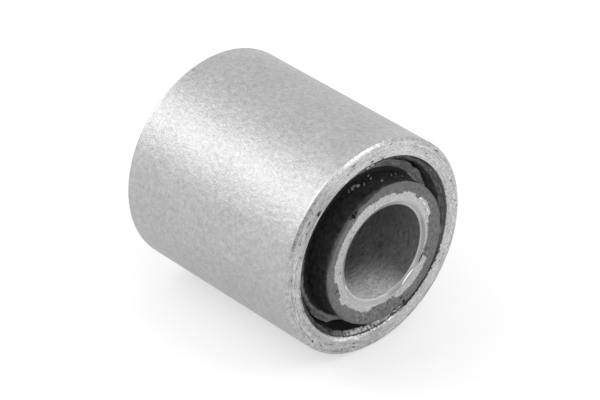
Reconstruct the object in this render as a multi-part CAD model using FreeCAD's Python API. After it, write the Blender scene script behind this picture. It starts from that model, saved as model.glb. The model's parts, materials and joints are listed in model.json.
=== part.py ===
import FreeCAD, Part
import math
import os

# Rubber metal bush: two steel sleeves, one inside the other, bonded to one moulded rubber element.
# The bush stands on the end of its inner sleeve: +Z runs along its axis and z = 0 is that end face.
# All sizes are in millimetres. Radii are worked out from the bore outwards, heights from z = 0 upwards.

# Inner sleeve: a thick steel tube that takes the bolt and stands proud of the outer sleeve.
bore_diameter = 14.0
inner_wall = 3.0
inner_sleeve_length = 36.7
bore_chamfer_width = 0.65
bore_chamfer_depth = 0.35

# Outer sleeve: a steel tube that is pressed into the eye of an arm or bracket.
outer_wall = 2.75
outer_sleeve_setback = 1.85
outer_edge_break = 0.4
mouth_edge_break = 0.25

# Rubber between the two sleeves, and how each moulded end divides it, from the inner sleeve outwards:
# a coat on the inner sleeve with a rounded foot, a shoulder ring, a relief groove and a bevelled lining.
rubber_gap = 3.25
coat_thickness = 0.45
coat_root_thickness = 0.55
coat_edge_break = 0.15
coat_foot_radius = 0.4
shoulder_depth = 2.2
shoulder_rise = 0.15
groove_width = 0.64
groove_depth = 3.0
lining_thickness = 0.61
lining_bevel_height = 0.6

# Skin of flash that the mould left on the upper end face of the inner sleeve. It thins towards the bore.
flash_reach = 1.0
flash_thickness = 0.12
flash_edge_thickness = 0.05

# Radii that follow from the driving sizes.
bore_radius = bore_diameter / 2
inner_sleeve_radius = bore_radius + inner_wall
outer_bore_radius = inner_sleeve_radius + rubber_gap
outer_sleeve_radius = outer_bore_radius + outer_wall

# Heights that follow from the driving sizes.
base = 0.0
outer_sleeve_bottom = base + outer_sleeve_setback
outer_sleeve_top = inner_sleeve_length - outer_sleeve_setback

full_turn = 360
centre = FreeCAD.Vector(0, 0, 0)
up = FreeCAD.Vector(0, 0, 1)


def point(radius, height):
    """Returns the point of a half section at a radius and a height."""
    return FreeCAD.Vector(radius, 0, height)


def straight(*points):
    """Returns the edges of the straight runs from each point to the next."""
    return [Part.LineSegment(start, end).toShape() for start, end in zip(points, points[1:])]


def quarter(start, corner, end):
    """Returns a quarter round from start to end that bulges towards the corner where its tangents meet."""
    heart = start + end - corner
    middle = heart + (corner - heart) * math.sqrt(0.5)
    return [Part.Arc(start, middle, end).toShape()]


def turned(edges):
    """Returns the solid that a closed half section sweeps round the bush's axis."""
    outline = Part.Wire(Part.sortEdges(edges)[0])
    return Part.Face(outline).revolve(centre, up, full_turn)


def inner_sleeve():
    """Turns the thick inner tube, with a wide flat chamfer at both mouths of its bore."""
    chamfer_radius = bore_radius + bore_chamfer_width
    top = inner_sleeve_length
    section = [
        point(chamfer_radius, base),
        point(inner_sleeve_radius, base),
        point(inner_sleeve_radius, top),
        point(chamfer_radius, top),
        point(bore_radius, top - bore_chamfer_depth),
        point(bore_radius, base + bore_chamfer_depth),
        point(chamfer_radius, base),
    ]
    return turned(straight(*section))


def outer_sleeve():
    """Turns the outer tube, with its edges broken outside and at the mouths."""
    low = outer_sleeve_bottom
    high = outer_sleeve_top
    section = [
        point(outer_bore_radius + mouth_edge_break, low),
        point(outer_sleeve_radius - outer_edge_break, low),
        point(outer_sleeve_radius, low + outer_edge_break),
        point(outer_sleeve_radius, high - outer_edge_break),
        point(outer_sleeve_radius - outer_edge_break, high),
        point(outer_bore_radius + mouth_edge_break, high),
        point(outer_bore_radius, high - mouth_edge_break),
        point(outer_bore_radius, low + mouth_edge_break),
        point(outer_bore_radius + mouth_edge_break, low),
    ]
    return turned(straight(*section))


def lining_and_groove(place):
    """Returns the edges from the outer sleeve's wall to the far lip of the relief groove.

    place turns a radius and a depth below the outer sleeve's end face into a point, at either end.
    """
    lining_radius = outer_bore_radius - lining_thickness
    shoulder_radius = lining_radius - groove_width
    bevel_foot = mouth_edge_break + lining_bevel_height
    floor = shoulder_depth + groove_depth
    return straight(
        place(outer_bore_radius, mouth_edge_break),
        place(lining_radius, bevel_foot),
        place(lining_radius, floor),
        place(shoulder_radius, floor),
        place(shoulder_radius, shoulder_depth - shoulder_rise),
    )


def shoulder_and_coat(place, end):
    """Returns the edges from the groove's lip, over the shoulder and up the coat to its bevelled end.

    end is the depth of the coat's end face, which is negative because the coat stands proud.
    """
    shoulder_radius = outer_bore_radius - lining_thickness - groove_width
    root_radius = inner_sleeve_radius + coat_root_thickness
    coat_radius = inner_sleeve_radius + coat_thickness
    foot = place(root_radius + coat_foot_radius, shoulder_depth)
    root = place(root_radius, shoulder_depth - coat_foot_radius)
    shoulder = straight(place(shoulder_radius, shoulder_depth - shoulder_rise), foot)
    rounded_foot = quarter(foot, place(root_radius, shoulder_depth), root)
    flank = straight(
        root,
        place(coat_radius, end + coat_edge_break),
        place(coat_radius - coat_edge_break, end),
    )
    return shoulder + rounded_foot + flank


def rubber_element():
    """Turns the moulded rubber: both moulded ends, the bonded walls, and the skin on the upper end face."""
    def at_top(radius, depth):
        """Returns a point at a depth below the outer sleeve's upper end face."""
        return point(radius, outer_sleeve_top - depth)

    def at_bottom(radius, depth):
        """Returns a point at a depth above the outer sleeve's lower end face."""
        return point(radius, outer_sleeve_bottom + depth)

    bare_end = -outer_sleeve_setback
    skin_top = bare_end - flash_thickness
    crown_radius = inner_sleeve_radius + coat_thickness - coat_edge_break
    skin_radius = inner_sleeve_radius - flash_reach
    top_end = lining_and_groove(at_top) + shoulder_and_coat(at_top, skin_top)
    bottom_end = lining_and_groove(at_bottom) + shoulder_and_coat(at_bottom, bare_end)
    outer_bond = straight(
        at_top(outer_bore_radius, mouth_edge_break),
        at_bottom(outer_bore_radius, mouth_edge_break),
    )
    skin = straight(
        at_top(crown_radius, skin_top),
        at_top(skin_radius, bare_end - flash_edge_thickness),
        at_top(skin_radius, bare_end),
        at_top(inner_sleeve_radius, bare_end),
    )
    inner_bond = straight(
        at_top(inner_sleeve_radius, bare_end),
        at_bottom(inner_sleeve_radius, bare_end),
        at_bottom(crown_radius, bare_end),
    )
    return turned(top_end + skin + inner_bond + bottom_end + outer_bond)


sub_parts = {
    "inner_sleeve": inner_sleeve,
    "outer_sleeve": outer_sleeve,
    "rubber_element": rubber_element,
}

os.makedirs("parts", exist_ok=True)
for name, build in sub_parts.items():
    solid = build()
    solid.exportStep("parts/" + name + ".step")
    print(name, "volume", round(solid.Volume, 1), "solids", len(solid.Solids), "valid", solid.isValid())
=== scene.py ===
"""Looks of a rubber metal bush: two steel sleeves bonded to one moulded rubber element.

The two steel sleeves are the frame's own solids in finishes of their own. The rubber is modelled here
over its solid, with the torn skin of flash, the ragged shoulder ring, the pulled lining and the crumbs
that the moulding left. Sizes are in millimetres and bearings in degrees about the bush's axis, from +X
towards +Y, until a mesh is made.
"""
import json
import logging
import math
import operator
from dataclasses import dataclass
from enum import Enum
from functools import lru_cache, reduce
from typing import Callable, Mapping, Optional, Sequence, TypeVar, Union

import bpy
from mathutils import Matrix, Vector, noise

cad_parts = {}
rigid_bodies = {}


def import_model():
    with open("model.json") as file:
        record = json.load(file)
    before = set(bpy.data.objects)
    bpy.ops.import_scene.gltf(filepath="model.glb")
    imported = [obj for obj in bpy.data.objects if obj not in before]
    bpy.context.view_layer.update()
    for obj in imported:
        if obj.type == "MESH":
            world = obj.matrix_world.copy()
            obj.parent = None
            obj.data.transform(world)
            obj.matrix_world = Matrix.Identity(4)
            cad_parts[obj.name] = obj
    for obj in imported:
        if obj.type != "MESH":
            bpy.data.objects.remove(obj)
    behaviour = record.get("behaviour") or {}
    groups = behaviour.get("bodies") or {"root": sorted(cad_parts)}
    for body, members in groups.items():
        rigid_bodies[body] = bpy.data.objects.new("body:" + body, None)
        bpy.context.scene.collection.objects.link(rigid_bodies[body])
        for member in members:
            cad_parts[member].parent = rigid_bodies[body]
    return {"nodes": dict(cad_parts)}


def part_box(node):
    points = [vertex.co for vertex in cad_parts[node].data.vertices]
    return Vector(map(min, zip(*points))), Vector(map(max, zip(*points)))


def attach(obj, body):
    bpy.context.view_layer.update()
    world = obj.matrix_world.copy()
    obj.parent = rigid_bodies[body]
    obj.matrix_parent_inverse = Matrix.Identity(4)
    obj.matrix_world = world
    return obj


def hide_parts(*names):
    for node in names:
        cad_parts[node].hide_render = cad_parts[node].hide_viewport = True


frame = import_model()

LOG = logging.getLogger("bush")
MM = 0.001
ROUND = 360.0
SLACK = 0.01             # how far a point may lie from the face that it is on
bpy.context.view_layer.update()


class Node(Enum):
    """The frame's solids, by name."""

    INNER_SLEEVE = "inner_sleeve"
    OUTER_SLEEVE = "outer_sleeve"
    RUBBER = "rubber_element"


class Slot(Enum):
    """The record's material slots."""

    TURNED_STEEL = "turned_steel"
    BLASTED_STEEL = "blasted_steel"
    MOULDED_RUBBER = "moulded_rubber"


@dataclass(frozen=True)
class Bush:
    """The bush's main sizes, read from the boxes of the frame's solids."""

    outer_radius: float
    face_low: float
    face_high: float
    sleeve_radius: float
    sleeve_high: float
    wall_radius: float
    skin_high: float

    @classmethod
    def read(cls) -> "Bush":
        """Reads the sizes.

        Returns:
            The bush's sizes.
        """
        outer_low, outer_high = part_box(Node.OUTER_SLEEVE.value)
        _, inner_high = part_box(Node.INNER_SLEEVE.value)
        _, rubber_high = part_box(Node.RUBBER.value)
        return cls(
            outer_radius=outer_high.x / MM,
            face_low=outer_low.z / MM,
            face_high=outer_high.z / MM,
            sleeve_radius=inner_high.x / MM,
            sleeve_high=inner_high.z / MM,
            wall_radius=rubber_high.x / MM,
            skin_high=rubber_high.z / MM,
        )

    @property
    def middle(self) -> float:
        """The height half way between the outer sleeve's two end faces."""
        return (self.face_low + self.face_high) / 2

    @property
    def half(self) -> float:
        """Half the outer sleeve's length."""
        return (self.face_high - self.face_low) / 2


def on_axis(bearing: float, radius: float, height: float) -> Vector:
    """Returns the place at a bearing, a radius and a height."""
    turn = math.radians(bearing)
    return Vector((radius * math.cos(turn), radius * math.sin(turn), height))


Kind = TypeVar("Kind")


def rows(kind: Callable[..., Kind], *fields: Sequence[float]) -> tuple[Kind, ...]:
    """Makes a table: one object of a kind from each row of its fields."""
    return tuple(kind(*row) for row in fields)


Number = Union["Field", float]
Inputs = Mapping[Union[str, int], object]


def joined_by(operation: str, swapped: bool = False) -> Callable[["Field", Number], "Field"]:
    """Makes a method that joins a field and a number in one Math node.

    Args:
        operation: The node's operation.
        swapped: Whether the other number comes first.

    Returns:
        The method.
    """
    def joined(field: "Field", other: Number) -> "Field":
        """Returns what the node makes of both."""
        return field.graph.maths(operation, *((other, field) if swapped else (field, other)))

    return joined


class Field:
    """A number, colour or vector that varies over a surface: one socket with Python's operators."""

    def __init__(self, graph: "Graph", socket: bpy.types.NodeSocket) -> None:
        """Keeps the socket and the graph that new nodes go into."""
        self.graph = graph
        self.socket = socket

    __add__ = joined_by("ADD")
    __radd__ = joined_by("ADD", swapped=True)
    __sub__ = joined_by("SUBTRACT")
    __rsub__ = joined_by("SUBTRACT", swapped=True)
    __mul__ = joined_by("MULTIPLY")
    __rmul__ = joined_by("MULTIPLY", swapped=True)
    __truediv__ = joined_by("DIVIDE")
    __pow__ = joined_by("POWER")
    either = joined_by("MAXIMUM")

    def magnitude(self) -> "Field":
        """Returns the number without its sign."""
        return self.graph.maths("ABSOLUTE", self)

    def towards(self, other: Number, share: Number) -> "Field":
        """Returns this number where share is 0 and the other where it is 1."""
        return self + (other - self) * share

    def rise(self, low: float, high: float) -> "Field":
        """Rises smoothly from 0 to 1 between two values.

        Args:
            low: The value where the result is still 0.
            high: The value where it has reached 1, smaller than low for a result that falls.

        Returns:
            The eased number.
        """
        settings = {"interpolation_type": "SMOOTHSTEP", "clamp": True}
        start, end = (0.0, 1.0) if low < high else (1.0, 0.0)
        limits = {"From Min": min(low, high), "From Max": max(low, high), "To Min": start, "To Max": end}
        return self.graph.field("ShaderNodeMapRange", settings, {"Value": self, **limits})

    def band(self, low: float, high: float, soft: float) -> "Field":
        """Returns 1 between two values and 0 outside them, with borders as wide as soft."""
        return self.rise(low - soft / 2, low + soft / 2) * self.rise(high + soft / 2, high - soft / 2)


class Graph:
    """One material's nodes, with coordinates in the bush's own frame."""

    def __init__(self, name: str) -> None:
        """Makes an empty material and reads the place on the object.

        Args:
            name: The material's name.
        """
        self.material = bpy.data.materials.new(name)
        self.material.use_nodes = True
        self.tree = self.material.node_tree
        self.tree.nodes.clear()
        metres = self.field("ShaderNodeTexCoord", {}, {}, "Object")
        self.place = self.vectors("SCALE", {0: metres, "Scale": 1 / MM})
        parts = self.node("ShaderNodeSeparateXYZ", {}, {0: self.place})
        self.x, self.y, self.z = (Field(self, parts.outputs[axis]) for axis in "XYZ")
        self.radius = (self.x * self.x + self.y * self.y) ** 0.5
        turn = self.maths("ARCTAN2", self.y, self.x) * math.degrees(1)
        self.bearing = self.maths("WRAP", turn, ROUND, 0.0)

    def node(self, kind: str, settings: Mapping[str, object], inputs: Inputs) -> bpy.types.Node:
        """Adds a node, with its settings first and then its inputs.

        Args:
            kind: The node's type.
            settings: Values of the node's own properties.
            inputs: Values or links of its sockets, by name or place.

        Returns:
            The new node.
        """
        node = self.tree.nodes.new(kind)
        for name, value in settings.items():
            setattr(node, name, value)
        for name, value in inputs.items():
            if isinstance(value, Field):
                self.tree.links.new(value.socket, node.inputs[name])
            else:
                node.inputs[name].default_value = value
        return node

    def field(
        self, kind: str, settings: Mapping[str, object], inputs: Inputs, output: Union[str, int] = 0
    ) -> Field:
        """Adds a node and returns one of its outputs."""
        return Field(self, self.node(kind, settings, inputs).outputs[output])

    def maths(self, operation: str, *values: Number) -> Field:
        """Adds a Math node on one, two or three numbers."""
        return self.field("ShaderNodeMath", {"operation": operation}, dict(enumerate(values)))

    def vectors(self, operation: str, inputs: Inputs, output: Union[str, int] = 0) -> Field:
        """Adds a Vector Math node and returns one of its outputs."""
        return self.field("ShaderNodeVectorMath", {"operation": operation}, inputs, output)

    def vector(self, x: Number, y: Number, z: Number) -> Field:
        """Joins three numbers to a vector, or to a colour."""
        return self.field("ShaderNodeCombineXYZ", {}, {"X": x, "Y": y, "Z": z})

    def noise(
        self, size: float, detail: float = 2.0, place: Optional[Field] = None, rough: float = 0.5
    ) -> Field:
        """Adds a noise texture, centred on 0.

        Args:
            size: The size of its blotches.
            detail: The number of finer layers in it.
            place: Where it is read, or None for the place on the object.
            rough: How strong the finer layers are.

        Returns:
            A number about 0, mostly within 0.25 of it.
        """
        inputs = {"Vector": place or self.place, "Scale": 1 / size, "Detail": detail, "Roughness": rough}
        return self.field("ShaderNodeTexNoise", {"noise_dimensions": "3D"}, inputs) - 0.5

    def turned(self, length: float, pitch: float, detail: float = 2.0, start: float = 0.0) -> Field:
        """Adds noise drawn out round the axis, as a cutting tool leaves it.

        Args:
            length: The length of its streaks, in degrees.
            pitch: Their width across the turning direction.
            detail: The number of finer layers in it.
            start: A shift that gives another pattern.

        Returns:
            A number about 0.
        """
        scale = math.degrees(1) / length
        across = (self.radius + self.z) / pitch + start
        place = self.vector(self.x / self.radius * scale, self.y / self.radius * scale, across)
        return self.noise(1.0, detail, place)

    def specks(self, spacing: float, size: float, shift: float = 0.0) -> Field:
        """Returns 1 in small scattered dots.

        Args:
            spacing: The mean distance between dots.
            size: The radius of a dot.
            shift: A shift that gives another pattern.

        Returns:
            The dots' mask.
        """
        moved = self.vectors("ADD", {0: self.place, 1: (shift,) * 3})
        inputs = {"Vector": moved, "Scale": 1 / spacing}
        reach = self.field("ShaderNodeTexVoronoi", {"feature": "F1"}, inputs, "Distance")
        return reach.rise(size / spacing, 0.4 * size / spacing)

    def sector(self, start: float, end: float, soft: float) -> Field:
        """Returns 1 between two bearings, counted anticlockwise, and 0 elsewhere."""
        span = (end - start) % ROUND
        return self.maths("WRAP", self.bearing - start, ROUND, 0.0).band(soft / 2, span - soft / 2, soft)

    def ragged(self, size: float, reach: float) -> Field:
        """Shakes the place on the object by noise, for marks with ragged outlines.

        Args:
            size: The size of the noise's blotches.
            reach: How strong the shaking is.

        Returns:
            The shaken place.
        """
        inputs = {"Vector": self.place, "Scale": 1 / size, "Detail": 2.0}
        shake = self.field("ShaderNodeTexNoise", {}, inputs, "Color")
        centre = self.vectors("SUBTRACT", {0: shake, 1: (0.5,) * 3})
        return self.vectors("MULTIPLY_ADD", {0: centre, 1: (reach,) * 3, 2: self.place})

    def finish(self, tone: Field, roughness: Field, height: Field, more: Inputs) -> bpy.types.Material:
        """Adds the surface shader, neutral in colour, and the output.

        Args:
            tone: How light the surface is.
            roughness: Its roughness.
            height: Its relief, in millimetres.
            more: The shader's other values and links.

        Returns:
            The finished material.
        """
        normal = self.field("ShaderNodeBump", {}, {"Height": height, "Distance": MM}, "Normal")
        colour = self.vector(tone, tone, tone)
        inputs = {"Base Color": colour, "Roughness": roughness, "Normal": normal, **more}
        surface = self.field("ShaderNodeBsdfPrincipled", {}, inputs, "BSDF")
        self.node("ShaderNodeOutputMaterial", {}, {"Surface": surface})
        return self.material


@dataclass(frozen=True)
class Mark:
    """A small ragged mark at a place on the bush: a pit, a smudge or a glint."""

    bearing: float
    radius: float
    along: float
    across: float
    depth: float = 1.0
    height: Optional[float] = None

    def mask(self, graph: Graph, place: Field, height: float) -> Field:
        """Returns the mark's strength inside it and 0 outside it.

        Args:
            graph: The material's graph.
            place: The place on the object, shaken for a ragged outline.
            height: The height of the face that the mark is on, where it has none of its own.

        Returns:
            The mark's mask.
        """
        on_wall = self.height is not None
        deep = max(self.along, self.across)
        inputs = {
            "Vector": place,
            "Location": on_axis(self.bearing, self.radius, self.height if on_wall else height),
            "Rotation": (0.0, 0.0, math.radians(self.bearing)),
            "Scale": (deep, self.along, self.across) if on_wall else (self.across, self.along, deep),
        }
        local = graph.field("ShaderNodeMapping", {"vector_type": "TEXTURE"}, inputs)
        reach = graph.vectors("LENGTH", {0: local}, "Value")
        return reach.rise(1.15, 0.45) * self.depth


def marked(graph: Graph, marks: Sequence[Mark], place: Field, height: float) -> Field:
    """Adds up the masks of several marks."""
    return reduce(operator.add, (mark.mask(graph, place, height) for mark in marks))


@dataclass(frozen=True)
class Arc:
    """A thin line left on a turned face, from one bearing to another."""

    radius: float
    width: float
    start: float
    end: float
    depth: float = 1.0

    def mask(self, graph: Graph, wander: Field) -> Field:
        """Returns the line's strength on it and 0 beside it.

        Args:
            graph: The material's graph.
            wander: How far the line strays from its radius at each place.

        Returns:
            The line's mask.
        """
        beside = (graph.radius + wander - self.radius).magnitude()
        line = beside.rise(self.width, self.width * 0.3) * self.depth
        return line * graph.sector(self.start, self.end, 14.0)


def scribed(graph: Graph, arcs: Sequence[Arc], wander: Field) -> Field:
    """Adds up the masks of several lines."""
    return reduce(operator.add, (arc.mask(graph, wander) for arc in arcs))


# Each mark's row: bearing, radius, reach along the turn and across it, depth, and height on a wall.
# Each line's row: radius, width, the bearings where it starts and ends, and depth.
FACE_PITS = rows(
    Mark,
    (29, 15.05, 0.3, 0.14), (28, 14.45, 0.16, 0.13), (102, 14.45, 0.16, 0.13), (106, 14.7, 0.14, 0.11),
    (134, 15.4, 0.14, 0.13), (138, 15, 0.16, 0.13), (176, 15.5, 0.2, 0.12), (183, 14.42, 0.22, 0.12),
    (213, 15.4, 0.32, 0.11), (238.5, 15.05, 0.6, 0.16), (243.5, 14.4, 0.22, 0.14),
    (226, 13.8, 0.4, 0.18, 0.8), (269.5, 14.1, 0.5, 0.34, 1.1), (271, 15.4, 0.16, 0.12),
    (276, 14.9, 0.28, 0.13), (282, 14.5, 0.2, 0.14), (288, 14.9, 0.22, 0.14), (295.5, 14.2, 0.2, 0.14),
    (333, 13.6, 0.16, 0.13), (355, 15.1, 0.2, 0.16), (3, 15, 0.4, 0.14, 0.6),
    (151.5, 14.9, 0.34, 0.3, 0.6), (149.1, 13.6, 0.16, 0.13), (144.8, 14.1, 0.16, 0.12),
    (139.6, 14.24, 0.13, 0.12), (139.6, 14.6, 0.12, 0.12), (137.8, 14.14, 0.12, 0.12),
    (136, 14.8, 0.12, 0.12), (177.5, 15.4, 0.34, 0.08), (107.3, 13.6, 0.4, 0.16),
    (101.8, 13.6, 0.3, 0.15), (96, 13.62, 0.3, 0.14, 0.8), (218, 13.6, 0.3, 0.14, 0.8),
    (20, 15.1, 0.24, 0.12, 0.7),
)
FACE_ARCS = rows(
    Arc,
    (15.45, 0.1, 350, 130, 0.5), (14.85, 0.07, 150, 215, 0.7), (15.2, 0.06, 150, 192, 0.7),
    (15.05, 0.05, 255, 320, 0.6), (14.5, 0.05, 262, 335, 0.5), (15.5, 0.08, 262, 300, 0.9),
)
# Painted light and shade, where the face is lighter towards the top and darker towards the bottom and
# sides: start, end and soft border, all bearings, and how much.
FACE_PAINTED_LIGHT_AND_SHADE = (
    (290, 75, 40, -0.045), (184, 226, 20, 0.05), (226, 262, 10, 0.08), (95, 168, 20, -0.025),
    (268, 292, 14, -0.06),
)
BODY_SPECKS = rows(
    Mark,
    (238.5, 16, 0.34, 0.26, 1, 2.7), (232.2, 16, 0.12, 0.12, 1, 2.6), (229.4, 16, 0.14, 0.1, 0.8, 3.5),
    (222, 16, 0.6, 0.16, 0.5, 3.4), (291.6, 16, 0.1, 0.2, 0.9, 13.4),
    (301.2, 16, 0.09, 0.09, 0.8, 28.1), (333.4, 16, 0.09, 0.09, 0.8, 14.7),
    (241.2, 16, 0.09, 0.1, 0.7, 14.7), (251.6, 16, 0.09, 0.09, 0.5, 11.1),
)
BODY_GLINTS = rows(Mark, (286.4, 16, 0.1, 0.1, 1, 6.4), (262, 16, 0.08, 0.08, 0.5, 12))


@dataclass(frozen=True)
class BlastedSteel:
    """Matt grey blasted steel outside, turned faces with pits at the ends, worn edges, and painted light,
    shade and highlights on the faces, edges and mouth.
    """

    bush: Bush
    body_tone: float = 0.473
    face_tone: float = 0.545
    edge_tone: float = 0.46
    mouth_highlight_tone: float = 0.9
    dark_mouth_edge_tone: float = 0.035
    body_roughness: float = 0.47
    face_roughness: float = 0.42
    edge_roughness: float = 0.28
    mouth_highlight_roughness: float = 0.28
    face_middle: float = 14.6
    edge_start: float = 15.3

    def material(self) -> bpy.types.Material:
        """Builds the outer sleeve's finish.

        Returns:
            The material.
        """
        graph = Graph(Slot.BLASTED_STEEL.value)
        bush = self.bush
        depth = bush.half - (graph.z - bush.middle).magnitude()
        ragged = graph.ragged(0.3, 0.28)
        wander = graph.noise(0.5, 2.0)
        grain = graph.noise(0.24, 2.0, rough=0.65)
        coarse = graph.noise(0.75, 2.0)
        body = self.body(graph, depth, ragged, grain * 0.68 + coarse * 0.52)

        lines = graph.turned(22.0, 0.2)
        streaks = graph.turned(6.0, 0.42, 3.0, 5.0)
        dashes = graph.turned(2.2, 0.2, 2.0, 11.0)
        worn = (graph.noise(0.34, 3.0, rough=0.75) + graph.sector(236, 290, 24.0) * 0.08).rise(0.16, 0.26)
        near_edges = (graph.radius - self.face_middle).magnitude().rise(0.35, 0.85)
        pits = graph.specks(0.62, 0.11) * near_edges * (wander * 3.0 + 0.5).rise(0.45, 0.9)
        arcs = scribed(graph, FACE_ARCS, wander * 0.12)
        dents = marked(graph, FACE_PITS, ragged, bush.face_high)
        lines = lines * (1.0 + graph.sector(272.0, 30.0, 20.0) * 0.8)
        face = self.face_tone * (1.0 + lines * 0.7 + streaks * 0.7 + dashes * 1.1 + grain * 0.8)
        face = face - (dents * 0.42 + pits * 0.3 + arcs * 0.14 + worn * 0.15)
        # Painted light and shade over the end face, one sector at a time.
        for begin, end, soft, gain in FACE_PAINTED_LIGHT_AND_SHADE:
            face = face + graph.sector(begin, end, soft) * gain

        on_face = depth.rise(0.05, 0.015)
        edge = (bush.outer_radius - graph.radius).rise(0.01, 0.05) * depth.rise(0.01, 0.05)
        edge = edge * graph.radius.rise(self.edge_start, self.edge_start + 0.1)
        # The burrs on the edge over bearings 216 to 247 are real relief; the light tone that they add to
        # the edge is a painted highlight.
        burrs_and_highlight = (graph.noise(0.26, 3.0, rough=0.7) + 0.26).rise(-0.05, 0.35)
        burrs_and_highlight = burrs_and_highlight * graph.sector(216, 247, 16.0) * (graph.radius + wander * 0.2).rise(15.62, 15.74)
        edge_face = self.edge_tone * (1.0 + grain * 1.3 + dashes * 0.7) + burrs_and_highlight * 0.8
        # Painted shade: the edge is darker over bearings 255 to 300, and the far end's edge is darkened
        # by half.
        edge_face = edge_face - graph.sector(255, 300, 12.0) * 0.14
        far_edge = graph.z.rise(10.0, 5.0) * edge
        edge_face = edge_face * (1.0 - far_edge * 0.5)
        mouth = graph.radius + wander * 0.14
        mouth_highlight = self.mouth_highlight(graph, mouth, wander)
        wall = graph.radius.rise(bush.wall_radius + 0.04, bush.wall_radius + 0.01)
        dark = self.dark_mouth_edge(graph, mouth).either(wall)
        greyed = graph.sector(104.0, 176.0, 12.0)
        fuzz = (graph.noise(0.22, 3.0, rough=0.75) + 0.2).rise(0.0, 0.5)
        fuzz = fuzz * graph.sector(14.0, 88.0, 12.0) * wall

        tone = body.towards(face, on_face).towards(edge_face, edge)
        # Painted highlight: part of the mouth's edge made bright.
        tone = tone.towards(self.mouth_highlight_tone * (1.0 + coarse * 1.4 + grain * 1.2), mouth_highlight)
        # The mouth's edge is made dark and not metallic all round, greyer over bearings 104 to 176.
        tone = tone.towards(self.dark_mouth_edge_tone + fuzz * 0.3 + greyed * 0.07 * (1.0 + coarse * 2.0), dark)
        rough = self.body_roughness + (self.face_roughness - self.body_roughness) * on_face
        rough = rough.towards(self.edge_roughness, edge).towards(self.mouth_highlight_roughness, mouth_highlight)
        rough = rough + coarse * 0.12 + dents * 0.2 + dark * 0.4 + far_edge * 0.35
        body_height = grain * 0.055 + coarse * 0.075
        face_height = lines * 0.02 + (dashes + grain) * 0.03 - dents * 0.05 - pits * 0.03 - worn * 0.02
        height = body_height.towards(face_height, on_face) + burrs_and_highlight * edge * 0.08
        return graph.finish(tone, rough, height, {"Metallic": 1.0 - dark})

    def body(self, graph: Graph, depth: Field, ragged: Field, mottle: Field) -> Field:
        """Shades the blasted outside, with painted light near its ends and a painted highlight line close
        to their edges on one side, and with specks and glints.

        Args:
            graph: The material's graph.
            depth: The distance from the nearer end face.
            ragged: The place on the object, shaken by noise.
            mottle: How much lighter or darker the mottle makes each place.

        Returns:
            The outside's tone.
        """
        body = self.body_tone * (1.0 + mottle + graph.noise(5.0, 1.0) * 0.12)
        body = body - marked(graph, BODY_SPECKS, ragged, 0.0) * 0.2
        body = body + marked(graph, BODY_GLINTS, graph.place, 0.0) * 0.35
        # Painted light: the outside is lighter near its ends over bearings 178 to 238, and a painted
        # highlight line runs just inside the edges over bearings 236 to 284.
        body = body + graph.sector(178, 238, 34.0) * depth.rise(5.0, 0.5) * 0.045
        body = body + graph.sector(236, 284, 20.0) * depth.band(0.35, 0.6, 0.4) * 0.14
        return body - graph.specks(2.1, 0.1) * 0.1 + graph.specks(2.6, 0.09, 7.0) * 0.12

    @staticmethod
    def mouth_highlight(graph: Graph, mouth: Field, wander: Field) -> Field:
        """Marks the painted highlight along part of the mouth's edge, where the edge catches the light.

        Args:
            graph: The material's graph.
            mouth: The radius, made to wander a little.
            wander: The noise that frays the highlight's border.

        Returns:
            The highlight's mask.
        """
        wide = graph.sector(2.0, 42.0, 14.0) * (mouth - wander * 0.6).rise(13.95, 13.75)
        narrow = graph.sector(30.0, 62.0, 8.0) * (mouth + wander * 0.5).rise(13.46, 13.38)
        return wide.either(narrow) * (graph.noise(0.28, 3.0, rough=0.7) + 0.14).rise(-0.04, 0.06)

    @staticmethod
    def dark_mouth_edge(graph: Graph, mouth: Field) -> Field:
        """Marks the dark band round the mouth's edge, in three ragged stretches.

        Args:
            graph: The material's graph.
            mouth: The radius, made to wander a little.

        Returns:
            The band's mask.
        """
        tatter = graph.noise(0.3, 3.0, rough=0.75)
        torn = (graph.radius + tatter * 0.5).rise(13.4, 13.3)
        edging = (graph.radius + tatter * 0.55).rise(13.54, 13.44)
        dark_mouth_edge = graph.sector(158.0, 290.0, 10.0) * mouth.rise(13.46, 13.4)
        dark_mouth_edge = dark_mouth_edge.either(graph.sector(282.0, 70.0, 8.0) * torn)
        return dark_mouth_edge.either(graph.sector(62.0, 170.0, 8.0) * edging)


RING_SMUDGES = rows(
    Mark,
    (275, 7.9, 0.4, 0.12, 0.8), (281, 7.85, 0.2, 0.1, 0.7), (311, 7.95, 0.3, 0.14, 0.7),
    (318, 7.8, 0.15, 0.1, 0.6), (246, 8, 0.2, 0.08, 0.5), (20, 8.3, 0.2, 0.1, 0.3),
    (114, 7.84, 0.3, 0.11, 0.9), (108.5, 7.9, 0.45, 0.26), (104.5, 7.87, 0.45, 0.24),
    (100.5, 7.8, 0.45, 0.18), (103, 8.25, 0.3, 0.1, 0.7), (160, 8.5, 0.2, 0.1, 0.5),
    (236, 8.2, 0.2, 0.12, 0.5), (268, 8.1, 0.2, 0.1, 0.4), (291, 8.2, 0.25, 0.1, 0.5),
)
CHAMFER_GLINTS = rows(Mark, (81.2, 7.4, 1.5, 0.1, 2.2), (335, 7.24, 0.5, 0.13, 2))
RING_GLINTS = rows(
    Mark,
    (175, 8.85, 0.5, 0.11), (166, 8.75, 0.55, 0.11), (157, 8.72, 0.5, 0.11), (151.5, 8.6, 0.25, 0.1),
    (182, 8.5, 0.3, 0.09, 0.6),
)


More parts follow.
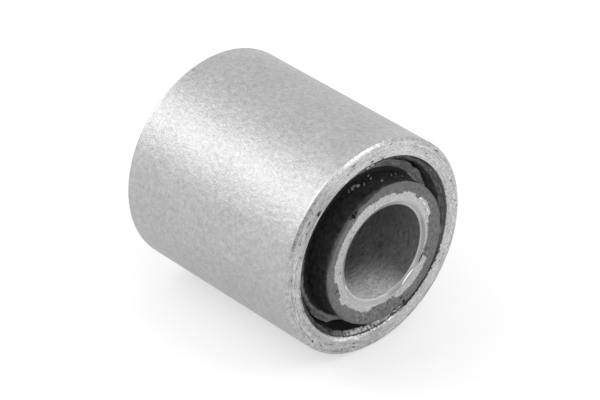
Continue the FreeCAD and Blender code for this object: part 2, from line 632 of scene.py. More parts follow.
@dataclass(frozen=True)
class TurnedSteel:
    """Bare turned steel of the inner sleeve: a clean end face, a chamfer and a dull bore, with painted
    light, shade and highlights on all three.
    """

    bush: Bush
    bore_radius: float = 7.0
    chamfer_width: float = 0.65
    face_tone: float = 0.5
    chamfer_tone: float = 0.42
    bore_tone: float = 0.22
    bore_shine: float = 0.66
    bore_metal: float = 0.35

    def material(self) -> bpy.types.Material:
        """Builds the inner sleeve's finish.

        Returns:
            The material.
        """
        graph = Graph(Slot.TURNED_STEEL.value)
        rim = self.bore_radius + self.chamfer_width
        in_bore = graph.radius.rise(self.bore_radius + 0.05, self.bore_radius + 0.01)
        on_chamfer = graph.radius.rise(rim + 0.02, rim - 0.02)
        ragged = graph.ragged(0.3, 0.25)
        grain = graph.noise(0.16, 2.0)
        coarse = graph.noise(0.6, 3.0)
        mottle = graph.noise(0.3, 3.0, rough=0.7)
        lines = graph.turned(40.0, 0.12)
        streaks = graph.turned(10.0, 0.3, 3.0, 3.0)
        smudges = marked(graph, RING_SMUDGES, ragged, self.bush.sleeve_high)
        glints = marked(graph, CHAMFER_GLINTS, graph.place, self.bush.sleeve_high)
        # Painted highlights: light glints along the skin's torn edge on the face.
        torn = marked(graph, RING_GLINTS, ragged, self.bush.sleeve_high)
        face = self.face_tone + lines * 0.12 + grain * 0.3 + mottle * 0.55 + coarse * 0.1
        face = face - smudges * 0.36 + torn * 0.3
        # Painted light and shade: the face is darker over bearings 258 to 330 and lighter over bearings 5
        # to 60.
        face = face - graph.sector(258.0, 330.0, 20.0) * 0.04 + graph.sector(5.0, 60.0, 20.0) * 0.03
        # Painted light and shade on the chamfer: a light line along the bore's edge, painted shade to the
        # right and lower right, lighter at the top, and painted glints.
        lip = graph.radius.rise(self.bore_radius + 0.3, self.bore_radius + 0.16)
        right = graph.sector(92.0, 160.0, 14.0)
        low = graph.sector(46.0, 98.0, 12.0)
        shade = (right + low - graph.sector(168.0, 262.0, 20.0) * 0.6) * (1.0 - lip)
        chamfer = self.chamfer_tone + lip * (0.1 - right * 0.1 - low * 0.16) - shade * 0.12
        chamfer = chamfer + lines * 0.2 + grain * 0.1 + glints * 0.6
        depth = self.bush.sleeve_high - graph.z
        # Painted light: the bore's wall is lighter near the mouth over bearings 300 to 92, where light
        # falls into it.
        lit = graph.sector(300.0, 92.0, 46.0) * depth.rise(9.5, 2.6)
        worked = graph.turned(9.0, 0.3, 3.0, 17.0) * 1.3 + streaks * 0.4 + coarse * 0.5 + grain * 1.8
        bore = (self.bore_tone + lit * self.bore_shine) * (1.0 + worked)
        tone = face.towards(chamfer, on_chamfer).towards(bore, in_bore)
        rough = 0.4 - on_chamfer * 0.06 - glints * 0.1 + in_bore * 0.1 + coarse * 0.12 + smudges * 0.1
        height = lines * 0.014 + grain * 0.012 + in_bore * (streaks * 0.03 + grain * 0.02)
        return graph.finish(tone, rough, height, {"Metallic": 1.0 - in_bore * (1.0 - self.bore_metal)})


RING_LINES = rows(Arc, (11.7, 0.17, 322, 16, 1), (12, 0.12, 340, 14, 0.8), (11.3, 0.12, 160, 215, 0.5))
SKIN_SPECKS = rows(
    Mark,
    (18.6, 9.1, 0.24, 0.07), (27.2, 9.15, 0.16, 0.06), (27, 10.2, 0.2, 0.07, 0.8),
    (118, 8.5, 0.25, 0.09, 0.35), (111, 8.5, 0.2, 0.08, 0.3), (262, 9.4, 0.2, 0.1, 0.6),
)
SKIN_SMUDGES = rows(
    Mark,
    (64, 9.25, 0.45, 0.24), (56, 9.35, 0.5, 0.2, 0.8), (46, 9, 0.3, 0.2, 0.5),
    (70, 9.7, 0.4, 0.14, 0.7), (36, 9.6, 0.4, 0.14, 0.4), (113.5, 8.15, 0.4, 0.16),
    (108.5, 8.3, 0.35, 0.14), (117.5, 8.3, 0.3, 0.12, 0.8), (252, 9.5, 0.3, 0.12, 0.5),
)


@dataclass(frozen=True)
class MouldedRubber:
    """Black moulded rubber, greyer on its torn flash and in other places, with painted light and painted
    highlights in a few of them.
    """

    skin_height: float
    tone: float = 0.175
    attribute: str = "greyness_and_painted_light"

    def material(self) -> bpy.types.Material:
        """Builds the rubber's finish.

        Returns:
            The material.
        """
        graph = Graph(Slot.MOULDED_RUBBER.value)
        greyness_and_painted_light = graph.field("ShaderNodeAttribute", {"attribute_name": self.attribute}, {}, "Fac")
        fine = graph.noise(0.14, 2.0)
        coarse = graph.noise(0.55, 3.0)
        streaks = graph.turned(9.0, 0.16, 2.0)
        variation = 1.0 + coarse * 0.9 + fine * 0.6 + streaks * 0.5
        ragged = graph.ragged(0.3, 0.3)
        specks = marked(graph, SKIN_SPECKS, ragged, self.skin_height)
        smudges = marked(graph, SKIN_SMUDGES, ragged, self.skin_height)
        lines = scribed(graph, RING_LINES, coarse * 0.5)
        tone = greyness_and_painted_light * self.tone * variation * (1.0 + specks * 1.6 - smudges * 0.6 - lines * 0.6)
        height = fine * 0.02 + coarse * 0.03 + streaks * 0.01
        rough = 0.85 - greyness_and_painted_light.rise(0.2, 1.0) * 0.2
        return graph.finish(tone, rough, height, {"Specular IOR Level": 0.2})


def enter(mode: str) -> None:
    """Switches the active piece to a mode."""
    bpy.ops.object.mode_set(mode=mode)


def deselect() -> None:
    """Deselects every object, so that the next operator acts on its own piece only."""
    for thing in bpy.data.objects:
        thing.select_set(False)


@dataclass(frozen=True)
class Corner:
    """A corner of a half section, with the radius that rounds it."""

    radius: float
    height: float
    rounding: float = 0.0

    def place(self) -> Vector:
        """Returns the corner's place in metres."""
        return Vector((self.radius * MM, 0.0, self.height * MM))


@dataclass(frozen=True)
class Stretch:
    """A stretch of a torn line: the bearing where it ends, and its level."""

    end: float
    level: float


@dataclass(frozen=True)
class TornLine:
    """A ragged line round the bush: a level for each stretch, eased between them, with a fine wander."""

    stretches: tuple[Stretch, ...]
    ease: float = 1.0
    wander: float = 0.09
    grain: float = 0.45

    def level(self, bearing: float) -> float:
        """Returns the plain level of the stretch at a bearing."""
        return next(stretch.level for stretch in self.stretches if bearing % ROUND <= stretch.end)

    @lru_cache(maxsize=None)
    def at(self, bearing: float) -> float:
        """Returns the line's level at a bearing, eased and ragged.

        Args:
            bearing: The bearing.

        Returns:
            The level there.
        """
        sides = (-1.0, -0.4, 0.0, 0.4, 1.0)
        eased = sum(self.level(bearing + side * self.ease) for side in sides) / len(sides)
        return eased + self.wander * rough(bearing, self.grain)


def clamped(value: float) -> float:
    """Returns a value kept between 0 and 1."""
    return max(0.0, min(1.0, value))


def apart(bearing: float, other: float) -> float:
    """Returns the angle between two bearings."""
    return abs((bearing - other + ROUND / 2) % ROUND - ROUND / 2)


def within(bearing: float, start: float, end: float, soft: float) -> float:
    """Returns 1 between two bearings and 0 outside them, eased over a stretch at both."""
    half = (end - start) % ROUND / 2
    return clamped((half - apart(bearing, start + half)) / soft + 0.5)


def mottled(bearing: float, size: float, level: float, falloff: float = 0.8) -> float:
    """Returns noise over a turned surface, about -1 to 1, at a bearing and a level across it."""
    return noise.fractal(on_axis(bearing, size, level), falloff, 2.0, 3)


@lru_cache(maxsize=None)
def rough(bearing: float, grain: float, shift: float = 0.0) -> float:
    """Returns noise round the bush, about -1 to 1, that changes grain times per degree."""
    place = on_axis(bearing, grain * math.degrees(1), shift)
    return noise.fractal(place, 0.8, 2.0, 4)


# Each stretch's row: the bearing where it ends, and its radius, or how far it drops for the lining.
SKIN_EDGE = TornLine(
    rows(
        Stretch,
        (12, 8.6), (27, 8.7), (31, 7.95), (32.2, 8.3), (45, 8), (46.5, 8.3), (58, 7.9), (61, 8.5),
        (74, 8.85), (107, 9.1), (120, 7.95), (151, 8.12), (163, 8.95), (177, 9.12), (183, 8.65),
        (201, 9.03), (208, 8.75), (210, 8.5), (240, 9.02), (257, 9.3), (300, 9.05), (304, 9.25),
        (319, 9.1), (337, 8.6), (348, 9.1), (360, 8.7),
    ),
    ease=1.2, wander=0.17, grain=0.7,
)
GREY_RIM = TornLine(
    rows(
        Stretch,
        (205, 10.75), (218, 10.56), (228, 10.46), (236, 10.34), (241, 10.24), (246.5, 10.08),
        (253.5, 10.28), (258.5, 9.75), (262, 9.98), (360, 10.75),
    ),
    ease=1.2, wander=0.07, grain=0.8,
)
RING_RIM = TornLine(
    rows(
        Stretch,
        (10, 12.2), (13, 12), (40, 11.6), (154, 11.9), (164, 12.05), (173, 12.33), (178, 12.12),
        (190, 12.33), (205, 12.05), (230, 11.85), (300, 11.8), (318, 11.6), (345, 11.85), (349, 11.72),
        (360, 12.18),
    ),
    ease=2.0, wander=0.12, grain=0.6,
)
RING_LIP = TornLine(
    rows(
        Stretch,
        (15, 10.98), (60, 10.95), (155, 10.95), (175, 10.75), (200, 10.95), (300, 11.05), (318, 10.88),
        (352, 11.15), (360, 11.1),
    ),
    ease=4.0, wander=0.06, grain=0.35,
)
LINING_DROP = TornLine(
    rows(
        Stretch,
        (9, 0), (22, 0.08), (26, 0.2), (34, 0.08), (38, 0.22), (49, 0.06), (53, 0.16), (58, 0.06),
        (61, 0.24), (69, 0.08), (72, 0.2), (80, 0.08), (360, 0),
    ),
    ease=1.0, wander=0.06, grain=0.7,
)


@dataclass(frozen=True)
class Slit:
    """A short cut in the coat's rim."""

    bearing: float
    half_width: float
    inner: float
    outer: float
    depth: float

    def strength(self, bearing: float, radius: float) -> float:
        """Returns 1 in the middle of the cut, falling to 0 at its sides.

        Args:
            bearing: The point's bearing.
            radius: The point's radius.

        Returns:
            The share of the cut's depth at the point.
        """
        aside = apart(bearing, self.bearing)
        if aside >= self.half_width or not self.inner <= radius <= self.outer:
            return 0.0
        return 1.0 - aside / self.half_width


# Each slit's row: bearing, half its width in degrees, the radii that it lies between, and depth.
SLITS = rows(
    Slit,
    (258, 1.3, 9.6, 10.6, 0.25), (255, 0.8, 10, 10.6, 0.2), (65, 1.4, 9.8, 10.6, 0.35),
    (60.8, 1.2, 10, 10.6, 0.3), (54.3, 1.2, 10.1, 10.6, 0.3), (328, 0.9, 8.8, 9.3, 0.05),
)


@dataclass(frozen=True)
class Spot:
    """A point of the spun moulding, with its depth below the nearer end face, and that end's sign."""

    radius: float
    height: float
    bearing: float
    depth: float
    sign: int


@dataclass(frozen=True)
class Shaped:
    """Where a point of the moulding goes, and how grey it is."""

    radius: float
    height: float
    greyness_and_painted_light: float


@dataclass
class RubberMoulding:
    """The moulded rubber element, modelled over its solid."""

    bush: Bush
    coat: float = 0.45
    coat_root: float = 0.55
    coat_edge: float = 0.15
    foot_radius: float = 0.4
    shoulder_depth: float = 2.2
    shoulder_rise: float = 0.15
    groove_width: float = 0.64
    groove_depth: float = 3.0
    lining: float = 0.61
    bevel_height: float = 0.6
    mouth_break: float = 0.25
    skin_reach: float = 1.0
    skin_edge: float = 0.05
    steps: int = 720
    spacing: float = 0.24
    divisions: int = 5
    weld: float = 0.002
    crease: float = 40.0
    lower_turn: float = 141.0
    dull_radius: float = 10.05

    @property
    def lining_radius(self) -> float:
        """The radius of the lining's inner wall."""
        return self.bush.wall_radius - self.lining

    @property
    def shoulder_radius(self) -> float:
        """The radius of the shoulder ring's outer lip."""
        return self.lining_radius - self.groove_width

    def end_corners(self, sign: int, end: float) -> list[Corner]:
        """Lists the corners of one moulded end, from the outer sleeve's wall to the coat's edge.

        Args:
            sign: 1 for the upper end, -1 for the lower end.
            end: The depth of the coat's end below the outer sleeve's face, negative as it stands proud.

        Returns:
            The corners in order.
        """
        inside = self.bush.sleeve_radius
        floor = self.shoulder_depth + self.groove_depth
        section = (
            (self.bush.wall_radius, self.mouth_break + self.bevel_height, 0.0),
            (self.bush.wall_radius, self.mouth_break, 0.0),
            (self.lining_radius, self.mouth_break + self.bevel_height, 0.14),
            (self.lining_radius, floor, 0.2),
            (self.shoulder_radius, floor, 0.2),
            (self.shoulder_radius, self.shoulder_depth - self.shoulder_rise, 0.1),
            (inside + self.coat_root, self.shoulder_depth, self.foot_radius),
            (inside + self.coat, end, self.coat_edge),
        )
        level = self.bush.middle + sign * self.bush.half
        return [Corner(radius, level - sign * depth, rounding) for radius, depth, rounding in section]

    def outline(self) -> list[Corner]:
        """Lists the corners of the whole half section, round the bonded walls and both ends.

        Returns:
            The corners in order.
        """
        bush = self.bush
        inside = bush.sleeve_radius
        proud = bush.sleeve_high - bush.face_high
        skin = bush.skin_high - bush.sleeve_high
        skin_radius = inside - self.skin_reach
        torn = [
            Corner(inside, bush.skin_high),
            Corner(skin_radius, bush.sleeve_high + self.skin_edge, 0.02),
            Corner(skin_radius, bush.sleeve_high),
            Corner(inside, bush.sleeve_high),
            Corner(inside, 0.0),
        ]
        return self.end_corners(1, -proud - skin) + torn + self.end_corners(-1, -proud)[::-1]

    def build(self) -> bpy.types.Object:
        """Draws the half section, rounds its corners, spins it and tears its edges.

        Returns:
            The finished piece.
        """
        corners = self.outline()
        piece = start_wire("rubber_moulding", corners[0].place())
        for here, there in zip(corners, corners[1:]):
            step = there.place() - here.place()
            bpy.ops.mesh.extrude_region_move(TRANSFORM_OT_translate={"value": step})
        select_near(piece, [corners[0].place(), corners[-1].place()])
        bpy.ops.mesh.edge_face_add()
        for corner in corners:
            if corner.rounding:
                round_corner(piece, corner)
        self.divide_runs(piece)
        enter("OBJECT")
        bpy.ops.object.modifier_add(type="SCREW")
        turn = piece.modifiers[-1]
        turn.angle = math.tau
        turn.screw_offset = 0.0
        turn.steps = turn.render_steps = self.steps
        bpy.ops.object.modifier_apply(modifier=turn.name)
        enter("EDIT")
        bpy.ops.mesh.select_all(action="SELECT")
        bpy.ops.mesh.remove_doubles(threshold=self.weld * MM)
        bpy.ops.mesh.normals_make_consistent(inside=False)
        enter("OBJECT")
        self.shape(piece)
        bpy.ops.object.shade_smooth_by_angle(angle=math.radians(self.crease))
        return piece

    def divide_runs(self, piece: bpy.types.Object) -> None:
        """Divides the long runs that show at the upper end, so that they can be made uneven.

        Args:
            piece: The wire, left in edit mode.
        """
        low = self.bush.face_high - self.shoulder_depth - 0.6
        bonds = (self.bush.sleeve_radius, self.bush.wall_radius)
        for _ in range(self.divisions):
            enter("OBJECT")
            points = [vertex.co / MM for vertex in piece.data.vertices]
            chosen = []
            for edge in piece.data.edges:
                one, two = (points[index] for index in edge.vertices)
                bonded = one.x == two.x and min(abs(one.x - bond) for bond in bonds) < SLACK
                if min(one.z, two.z) > low and (one - two).length > self.spacing and not bonded:
                    chosen.append(edge.index)
            for vertex in piece.data.vertices:
                vertex.select = False
            for edge in piece.data.edges:
                edge.select = edge.index in chosen
            enter("EDIT")
            bpy.ops.mesh.select_mode(type="EDGE")
            if not chosen:
                break
            bpy.ops.mesh.subdivide(number_cuts=1)

    def shape(self, piece: bpy.types.Object) -> None:
        """Moves the spun moulding's points to their uneven places, and writes how grey each is.

        Args:
            piece: The spun moulding.
        """
        mesh = piece.data
        greys = mesh.attributes.new(MouldedRubber.attribute, "FLOAT", "POINT")
        for vertex, entry in zip(mesh.vertices, greys.data):
            place = vertex.co / MM
            radius = math.hypot(place.x, place.y)
            bearing = round(math.degrees(math.atan2(place.y, place.x)) % ROUND, 3)
            shaped = self.shaped(radius, place.z, bearing)
            vertex.co = on_axis(bearing, shaped.radius, shaped.height) * MM
            entry.value = shaped.greyness_and_painted_light

    def shaped(self, radius: float, height: float, bearing: float) -> Shaped:
        """Works out where a point of the spun form goes.

        Args:
            radius: The point's radius.
            height: The point's height.
            bearing: The point's bearing.

        Returns:
            The point's new place and its greyness.
        """
        bush = self.bush
        sign = 1 if height > bush.middle else -1
        depth = bush.half - sign * (height - bush.middle)
        turn = bearing if sign > 0 else bearing + self.lower_turn
        spot = Spot(radius, height, turn, depth, sign)
        if radius < bush.sleeve_radius + SLACK or depth < bush.face_high - bush.sleeve_high - SLACK:
            return self.shaped_skin(spot)
        if radius > self.lining_radius - 0.25:
            return self.shaped_lining(spot)
        if depth > self.shoulder_depth - 0.45 and radius > bush.sleeve_radius + self.coat_root + 0.05:
            return self.shaped_ring(spot)
        return self.shaped_flank(spot)

    def shaped_skin(self, spot: Spot) -> Shaped:
        """Tears the skin's inner edge, paints a highlight along its very edge, and dulls the coat's outer
        rim.

        Args:
            spot: The point.

        Returns:
            Its new place and its greyness.
        """
        radius, height, bearing = spot.radius, spot.height, spot.bearing
        bush = self.bush
        inside = bush.sleeve_radius
        if height < bush.sleeve_high - SLACK:
            return Shaped(radius, height, 0.05)
        greyness_and_painted_light = 1.0
        if radius < inside - 0.001:
            share = (inside - radius) / self.skin_reach
            radius = inside - (inside - SKIN_EDGE.at(bearing)) * share
            greyness_and_painted_light = 0.94 + 0.1 * share
            flecked = 0.7 if 8 < bearing < 64 else 0.3
            greyness_and_painted_light *= 1.0 + flecked * mottled(bearing, 22.0, radius * 5.0)
            # Painted highlight: the skin's torn edge is made light, strongest over bearings 143 to 170.
            torn = 4.2 if 143 < bearing < 170 else 2.6 * rough(bearing, 0.8, 5.0)
            greyness_and_painted_light += max(0.0, torn) * max(0.0, share * 20.0 - 19.0)
        rim = clamped((radius - self.dull_radius - 0.08 * rough(bearing, 0.2, 4.0)) / 0.12)
        greyness_and_painted_light -= 0.5 * rim * self.dull_rim(bearing)
        greyness_and_painted_light *= 1.0 - 0.72 * clamped((radius - GREY_RIM.at(bearing)) / 0.1)
        for slit in SLITS:
            cut = slit.strength(bearing + 0.6 * noise.noise((radius * 4.0, 0.0, 0.0)), radius)
            greyness_and_painted_light *= 1.0 - min(1.0, 2.2 * cut)
            if radius > inside:
                height -= slit.depth * cut
        bulge = 0.1 * max(0.0, radius - inside) / self.coat * rough(bearing, 0.2, 2.0)
        return Shaped(radius + bulge, height, greyness_and_painted_light)

    @staticmethod
    def dull_rim(bearing: float) -> float:
        """Returns how dull the coat's rim is at a bearing."""
        return 0.25 + 0.75 * within(bearing, 262.0, 302.0, 8.0)

    def shaped_flank(self, spot: Spot) -> Shaped:
        """Makes the coat's flank slightly uneven, and keeps it black below its rim.

        Args:
            spot: The point.

        Returns:
            Its new place and its greyness.
        """
        uneven = mottled(spot.bearing, 12.0, spot.depth * 1.6, 0.9)
        fade = 0.45 + 0.3 * rough(spot.bearing, 0.3, 8.0)
        near_rim = max(0.0, 1.0 - (spot.depth + self.bush.sleeve_high - self.bush.face_high) / fade)
        return Shaped(spot.radius + 0.035 * uneven, spot.height, 0.1 + 0.09 * uneven + 0.3 * near_rim)

    @staticmethod
    def ring_tone(bearing: float) -> float:
        """Returns how grey the shoulder ring is at a bearing."""
        return 1.15 - 0.15 * within(bearing, 296.0, 318.0, 4.0) + 0.6 * within(bearing, 318.0, 14.0, 6.0)

    def shaped_ring(self, spot: Spot) -> Shaped:
        """Gives the shoulder ring its ragged rim, greys what lies between its lip and its rim, and greys
        its sides in the groove as painted light.

        Args:
            spot: The point.

        Returns:
            Its new place and its greyness.
        """
        radius, height, bearing = spot.radius, spot.height, spot.bearing
        foot = self.bush.sleeve_radius + self.coat_root + self.foot_radius
        shift = RING_RIM.at(bearing) - self.shoulder_radius
        below = max(0.0, spot.depth - self.shoulder_depth + self.shoulder_rise)
        share = clamped((radius - foot) / (self.shoulder_radius - foot))
        on_top = radius < self.shoulder_radius - 0.02 or below < 0.12
        lip = RING_LIP.at(bearing)
        moved = radius + shift * share ** 2 * math.exp(-below / 0.7)
        # Painted light: the ring's sides, down in the groove, are made greyer than its top.
        greyness_and_painted_light = 0.12 if on_top else 0.4
        if on_top:
            inside_rim = clamped((moved - lip) / 0.12)
            tone = self.ring_tone(bearing)
            tone *= 1.0 + 0.2 * math.sin((moved - lip) * 15.0 + 2.0 * rough(bearing, 0.06, 6.0))
            tone *= 1.0 + 0.6 * mottled(bearing, 12.0, moved * 5.0, 0.9)
            greyness_and_painted_light += (tone - 0.04) * inside_rim
            height += spot.sign * 0.05 * mottled(bearing, 14.0, moved * 2.0, 0.9)
        return Shaped(moved, height, greyness_and_painted_light)

    def shaped_lining(self, spot: Spot) -> Shaped:
        """Tears the lining's upper edge away from the mouth, greys it in places, and greys its deep wall
        as painted light.

        Args:
            spot: The point.

        Returns:
            Its new place and its greyness.
        """
        radius, height, depth, bearing = spot.radius, spot.height, spot.depth, spot.bearing
        # Painted light: the deep wall of the groove is made grey.
        if depth > self.shoulder_depth + 0.6:
            return Shaped(radius, height, 0.5)
        share = clamped((self.bush.wall_radius - radius) / self.lining)
        bevel_foot = self.mouth_break + self.bevel_height
        if depth < bevel_foot:
            height -= spot.sign * max(0.0, LINING_DROP.at(bearing)) * (1.0 - share)
        if share > 0.5:
            radius += 0.06 * rough(bearing, 0.15, 9.0) * min(1.0, share)
        speckle = mottled(bearing, 32.0, depth * 3.0)
        drawn = mottled(bearing, 9.0, depth * 5.0)
        greyness_and_painted_light = 0.2
        if depth < 2.4 + 0.4 * drawn:
            greyness_and_painted_light += 0.36 * within(bearing, 276.0, 8.0, 10.0) * (1.0 + 1.4 * speckle + 3.0 * drawn)
        greyness_and_painted_light += 0.66 * within(bearing, 112.0, 238.0, 10.0) * (1.0 + 0.3 * speckle + 1.1 * drawn)
        torn = clamped(min((bearing - 6.0) / 22.0, (92.0 - bearing) / 10.0))
        band = clamped((bevel_foot + 0.05 + 0.2 * rough(bearing, 0.4, 3.0) - depth) / 0.15)
        greyness_and_painted_light += torn * band * max(0.0, 2.6 + 4.0 * speckle)
        return Shaped(radius, height, max(0.05, greyness_and_painted_light))


@dataclass(frozen=True)
class Crumb:
    """A crumb of torn rubber that stuck in the recess."""

    bearing: float
    radius: float
    height: float
    length: float
    width: float
    turn: float = 0.0
    greyness_and_painted_light: float = 1.6


# Each crumb's row: bearing, radius, height, length, width, turn about the radius, and greyness.
# The rows at a radius of about 13.1, on the lining's edge at the mouth, are made very light as painted
# highlights.
CRUMBS = rows(
    Crumb,
    (240.5, 10.62, 33.6, 0.36, 0.2, -50, 1.1), (236, 10.6, 33.9, 0.28, 0.22, 0, 1.25),
    (238, 10.6, 33.5, 0.34, 0.18, 20, 1), (243.5, 10.6, 33.5, 0.42, 0.15, -60, 0.6),
    (232, 10.6, 34.3, 0.46, 0.15, -50, 0.7), (222.4, 10.57, 33.2, 0.22, 0.17, -30, 0.9),
    (219.4, 10.53, 35.3, 0.2, 0.18, 0, 0.9), (223.5, 10.56, 33.9, 0.36, 0.15, -40, 0.8),
    (205.9, 10.54, 34.5, 0.46, 0.15, -50, 0.7), (200.2, 10.54, 34.3, 0.5, 0.14, -50, 0.6),
    (195.8, 10.53, 34.9, 0.4, 0.13, -50, 0.6), (221, 11.25, 32.74, 0.2, 0.14, 0, 2.2),
    (216.5, 11.3, 32.74, 0.2, 0.11, 40, 1.8), (213, 11.45, 32.74, 0.16, 0.1, 70, 1.6),
    (358.5, 10.95, 32.72, 0.18, 0.11, 10), (9, 10.85, 32.74, 0.17, 0.1, 50),
    (12, 12.05, 32.7, 0.15, 0.08, 30), (169.5, 13.05, 34.5, 0.16, 0.1, 0, 1.8),
    (293.5, 13.1, 34.5, 0.16, 0.08, 30, 1), (225.5, 13.12, 34.7, 0.28, 0.1, 0, 3.6),
    (229, 13.12, 34.68, 0.22, 0.1, 10, 3.4), (204, 13.12, 34.5, 0.1, 0.06, 0, 2.4),
)


@dataclass
class RubberCrumbs:
    """The loose nibs and crumbs of rubber in the recess; the very light ones at the mouth's edge are
    painted highlights.
    """

    crumbs: tuple[Crumb, ...] = CRUMBS

    def build(self) -> bpy.types.Object:
        """Models the crumbs and joins them to one piece.

        Returns:
            The finished piece.
        """
        made = [self.one(crumb) for crumb in self.crumbs]
        deselect()
        for crumb in made:
            crumb.select_set(True)
        bpy.context.view_layer.objects.active = made[0]
        bpy.ops.object.join()
        piece = bpy.context.object
        piece.name = piece.data.name = "rubber_crumbs"
        return piece

    @staticmethod
    def one(crumb: Crumb) -> bpy.types.Object:
        """Models one crumb in place: a drawn-out lump with a rough skin.

        Args:
            crumb: The crumb's place and size.

        Returns:
            The crumb's object.
        """
        deselect()
        centre = on_axis(crumb.bearing, crumb.radius, crumb.height) * MM
        bpy.ops.mesh.primitive_ico_sphere_add(subdivisions=3, radius=crumb.width * MM, location=(0, 0, 0))
        piece = bpy.context.object
        enter("EDIT")
        bpy.ops.transform.resize(value=(0.8, crumb.length / crumb.width, 1.0), center_override=(0, 0, 0))
        for axis, angle in (("X", crumb.turn), ("Z", -crumb.bearing)):
            turn = math.radians(angle)
            bpy.ops.transform.rotate(value=turn, orient_axis=axis, center_override=(0, 0, 0))
        bpy.ops.transform.translate(value=centre)
        enter("OBJECT")
        mesh = piece.data
        greys = mesh.attributes.new(MouldedRubber.attribute, "FLOAT", "POINT")
        for vertex, entry in zip(mesh.vertices, greys.data):
            out = vertex.co - centre
            vertex.co = centre + out * (1.0 + 0.5 * noise.fractal(vertex.co / MM * 9.0, 0.8, 2.0, 3))
            entry.value = crumb.greyness_and_painted_light
        bpy.ops.object.shade_smooth()
        return piece


def start_wire(name: str, place: Vector) -> bpy.types.Object:
    """Starts a piece as one vertex in edit mode, selected.

    Args:
        name: The piece's name.
        place: Where the vertex stands, in metres.

    Returns:
        The new object.
    """
    deselect()
    bpy.ops.mesh.primitive_plane_add(size=MM, location=(0, 0, 0))
    piece = bpy.context.object
    piece.name = piece.data.name = name
    enter("EDIT")
    bpy.ops.mesh.select_mode(type="VERT")
    bpy.ops.mesh.select_all(action="SELECT")
    bpy.ops.mesh.merge(type="CENTER")
    bpy.ops.transform.translate(value=place)
    return piece


def select_near(piece: bpy.types.Object, places: Sequence[Vector], reach: float = 0.003 * MM) -> None:
    """Selects the vertices that stand at given places, and no others.

    Args:
        piece: The piece, in edit mode.
        places: The places, in metres.
        reach: How far from a place a vertex may stand.
    """
    bpy.ops.mesh.select_all(action="DESELECT")
    enter("OBJECT")
    for vertex in piece.data.vertices:
        vertex.select = any((vertex.co - place).length < reach for place in places)
    enter("EDIT")


def round_corner(piece: bpy.types.Object, corner: Corner) -> None:
    """Rounds one corner of a wire.

    Args:
        piece: The wire, in edit mode.
        corner: The corner, with the radius that rounds it.
    """
    select_near(piece, [corner.place()])
    bpy.ops.mesh.bevel(
        offset_type="OFFSET", offset=corner.rounding * MM, segments=4, profile=0.5, affect="VERTICES"
    )


@dataclass(frozen=True)
class Lamp:
    """A square soft lamp that looks at the bush."""

    name: str
    bearing: float
    rise: float
    distance: float
    size: float
    power: float

    def hang(self, aim: Vector) -> None:
        """Hangs the lamp so that it looks at a place.

        Args:
            aim: The place, in metres.
        """
        climb = math.radians(self.rise)
        out = on_axis(self.bearing, math.cos(climb), math.sin(climb))
        data = bpy.data.lights.new(self.name, "AREA")
        data.size = self.size
        data.energy = self.power
        lamp = bpy.data.objects.new(self.name, data)
        bpy.context.scene.collection.objects.link(lamp)
        lamp.location = aim + out * self.distance
        lamp.rotation_mode = "QUATERNION"
        lamp.rotation_quaternion = out.to_track_quat("Z", "Y")
        lamp.visible_camera = False


LAMPS = (
    Lamp("key", 268, -39, 0.6, 0.25, 0.66),
    Lamp("fill", 252, -24, 0.6, 0.35, 0.34),
    Lamp("side", 200, 40, 0.6, 0.3, 0.45),
)


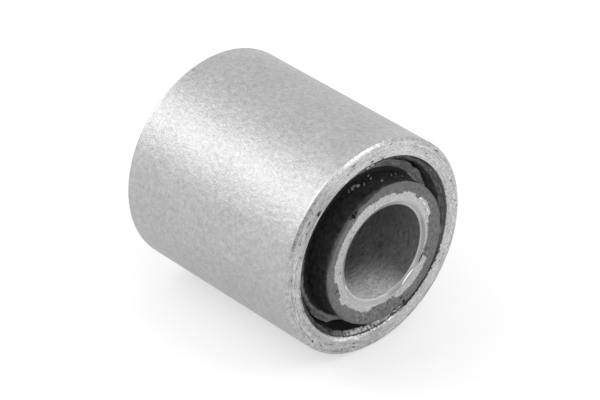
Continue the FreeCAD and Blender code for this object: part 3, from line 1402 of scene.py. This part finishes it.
@dataclass(frozen=True)
class Studio:
    """Camera, floor, backdrop and lamps."""

    bush: Bush
    picture_width: int = 600
    lens_in_pixels: float = 3275.0
    sensor: float = 36.0
    axis_tilt: float = 51.14
    axis_roll: float = 30.53
    face_centre: tuple[float, float, float] = (0.628, 0.400, 27.518)
    ambient: float = 1.0
    floor_glow: float = 0.5
    mirrored_glow: float = 0.43
    floor_tone: float = 0.5
    floor_size: float = 4.0
    near: float = 0.01
    far: float = 20.0

    def turned_axes(self) -> Matrix:
        """Works out how the camera sees the frame's axes.

        Returns:
            A row for each axis: how far it points right, down and away.
        """
        tilt = math.radians(self.axis_tilt)
        axis = on_axis(self.axis_roll, math.sin(tilt), -math.cos(tilt))
        sight = Vector((0.0, 0.0, 1.0))
        away = (sight - axis * sight.dot(axis)).normalized()
        return Matrix((away.cross(axis), away, axis))

    def place_camera(self) -> None:
        """Sets the camera, rolled so that the bush's upper end points down and to the right."""
        axes = self.turned_axes()
        centre = Vector(self.face_centre) * self.bush.outer_radius * MM
        face = Vector((0.0, 0.0, self.bush.face_high * MM))
        data = bpy.data.cameras.new("camera")
        data.sensor_width = self.sensor
        data.lens = self.lens_in_pixels / self.picture_width * self.sensor
        data.clip_start = self.near
        data.clip_end = self.far
        camera = bpy.data.objects.new("camera", data)
        bpy.context.scene.collection.objects.link(camera)
        right, down, sight = axes.transposed()
        turn = Matrix((right, -down, -sight)).transposed().to_4x4()
        camera.matrix_world = Matrix.Translation(face - axes @ centre) @ turn
        bpy.context.scene.camera = camera

    def table_up(self) -> Vector:
        """Returns the way up from the table: square to the bush's axis and upright in the picture."""
        right = self.turned_axes().transposed()[0]
        return Vector((0, 0, 1)).cross(right).normalized()

    def lay_floor(self) -> None:
        """Lays a white floor against the bush's side: it takes the shadow and is clear from beneath."""
        deselect()
        up = self.table_up()
        place = Vector((0, 0, self.bush.middle * MM)) - up * self.bush.outer_radius * MM
        turn = up.to_track_quat("Z", "Y").to_euler()
        bpy.ops.mesh.primitive_plane_add(size=self.floor_size, location=place, rotation=turn)
        floor = bpy.context.object
        floor.name = "floor"
        graph = Graph("white_floor")
        rays = graph.node("ShaderNodeLightPath", {}, {})
        kinds = ("Is Camera Ray", "Is Glossy Ray", "Is Transmission Ray")
        seen, mirrored, passed = (Field(graph, rays.outputs[kind]) for kind in kinds)
        strength = (self.floor_glow * seen).either(self.mirrored_glow * mirrored.either(passed))
        glow = graph.field("ShaderNodeEmission", {}, {"Strength": strength})
        shade = (self.floor_tone,) * 3 + (1.0,)
        matt = graph.field("ShaderNodeBsdfDiffuse", {}, {"Color": shade})
        both = graph.field("ShaderNodeAddShader", {}, {0: glow, 1: matt})
        clear = graph.field("ShaderNodeBsdfTransparent", {}, {})
        side = graph.field("ShaderNodeNewGeometry", {}, {}, "Backfacing")
        shown = graph.field("ShaderNodeMixShader", {}, {0: side, 1: both, 2: clear})
        graph.node("ShaderNodeOutputMaterial", {}, {"Surface": shown})
        floor.data.materials.append(graph.material)

    def light(self) -> None:
        """Sets the white surroundings and the soft lamps."""
        world = bpy.data.worlds.new("surroundings")
        bpy.context.scene.world = world
        world.use_nodes = True
        tree = world.node_tree
        tree.nodes.clear()
        shade = tree.nodes.new("ShaderNodeBackground")
        shade.inputs["Color"].default_value = (1.0,) * 4
        shade.inputs["Strength"].default_value = self.ambient
        output = tree.nodes.new("ShaderNodeOutputWorld")
        tree.links.new(shade.outputs[0], output.inputs[0])
        for lamp in LAMPS:
            lamp.hang(Vector((0, 0, self.bush.middle * MM)))


def dress(piece: bpy.types.Object, material: bpy.types.Material) -> None:
    """Gives a piece its finish and reports it.

    Args:
        piece: The piece.
        material: Its finish.
    """
    piece.data.materials.clear()
    piece.data.materials.append(material)
    LOG.info("%s: %s, %d faces", piece.name, material.name, len(piece.data.polygons))


def main() -> None:
    """Builds the studio and the bush, piece by piece."""
    logging.basicConfig(level=logging.INFO, format="%(relativeCreated)d %(name)s: %(message)s")
    bush = Bush.read()
    studio = Studio(bush)
    studio.place_camera()
    dress(frame["nodes"][Node.OUTER_SLEEVE.value], BlastedSteel(bush).material())
    dress(frame["nodes"][Node.INNER_SLEEVE.value], TurnedSteel(bush).material())
    rubber = MouldedRubber(bush.skin_high).material()
    moulding = RubberMoulding(bush).build()
    dress(moulding, rubber)
    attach(moulding, "root")
    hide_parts(Node.RUBBER.value)
    crumbs = RubberCrumbs().build()
    dress(crumbs, rubber)
    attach(crumbs, "root")
    studio.lay_floor()
    studio.light()
    bpy.context.scene.view_settings.view_transform = "Standard"


if __name__ == "__main__":
    main()
